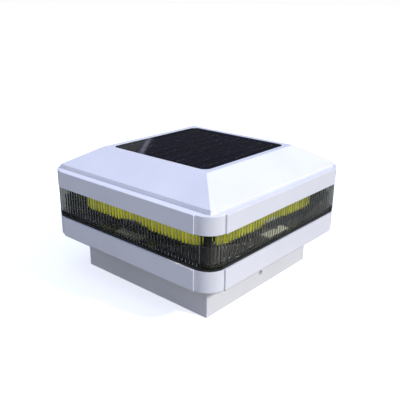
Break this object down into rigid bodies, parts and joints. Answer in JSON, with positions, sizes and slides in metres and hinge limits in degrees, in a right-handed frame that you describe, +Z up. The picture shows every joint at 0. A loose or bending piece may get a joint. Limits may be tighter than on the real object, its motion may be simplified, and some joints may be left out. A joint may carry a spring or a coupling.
{
  "type": "solar post cap light",
  "caption": "Square pyramid-topped solar light that drops over a post, with a ribbed clear lens band, a solar panel in the roof and a collar with side fixing holes.",
  "frame": {"origin": "centre of the collar's bottom rim", "axes": "+Z up through the pyramid; the four faces look along X and Y"},
  "size_m": [0.176, 0.176, 0.1056],
  "materials": {
    "white_case": "satin moulded plastic, faint texture",
    "clear_lens": "clear ribbed plastic",
    "black_rubber": "matte",
    "charcoal_tray": "matte",
    "white_inner": "matte",
    "green_reflector": "glossy",
    "zinc_steel": "zinc plated",
    "panel_cover": "clear resin",
    "silicon": "dark anti-reflection coating",
    "tinned_ribbon": "tinned",
    "circuit_board": "solder mask",
    "foam_tape": "foam",
    "led_dome": "clear epoxy",
    "lead_black": "sleeved",
    "lead_red": "sleeved",
    "cell_wrap": "shrink wrap",
    "black_plastic": "matte",
    "ferrite": "matte",
    "can_sleeve": "sleeved"
  },
  "bodies": {
    "case": {"post_collar": "white_case", "base_housing": "white_case", "top_cover": "white_case", "lens_ring": "clear_lens", "lens_gasket": "black_rubber", "cover_seal": "black_rubber", "light_tray": "charcoal_tray", "ceiling_plate": "charcoal_tray", "led_mount_1": "white_inner", "led_mount_2": "white_inner", "led_mount_3": "white_inner", "led_mount_4": "white_inner", "lead_headers": "white_inner", "reflector_ring": "green_reflector", "case_screws": "zinc_steel", "switch_screws": "zinc_steel", "board_screws": "zinc_steel", "hinge_pin": "zinc_steel", "contact_plus": "zinc_steel", "contact_minus": "zinc_steel", "panel_cover": "panel_cover", "solar_cells": "silicon", "cell_tabs": "tinned_ribbon", "switch_pins": "tinned_ribbon", "panel_board": "circuit_board", "control_board": "circuit_board", "led_board_1": "circuit_board", "led_board_2": "circuit_board", "led_board_3": "circuit_board", "led_board_4": "circuit_board", "panel_tape": "foam_tape", "led_1": "led_dome", "led_2": "led_dome", "led_3": "led_dome", "led_4": "led_dome", "panel_lead": "lead_black", "battery_lead_minus": "lead_black", "switch_lead": "lead_black", "led_lead_1": "lead_black", "led_lead_2": "lead_black", "led_lead_3": "lead_black", "led_lead_4": "lead_black", "battery_lead_plus": "lead_red", "battery_cell": "cell_wrap", "switch_body": "black_plastic", "control_chip": "black_plastic", "choke_coil": "ferrite", "capacitor": "can_sleeve"},
    "door": {"battery_door": "white_case"},
    "slider": {"switch_knob": "black_plastic"}
  },
  "joints": [
    {"name": "door_hinge", "type": "hinge", "parent": "case", "child": "door", "pos_m": [0, -0.01145, 0.0332], "axis": [-1, 0, 0], "range_deg": [0, 90]},
    {"name": "switch_slide", "type": "slide", "parent": "case", "child": "slider", "axis": [1, 0, 0], "range_m": [0, 0.003]}
  ]
}
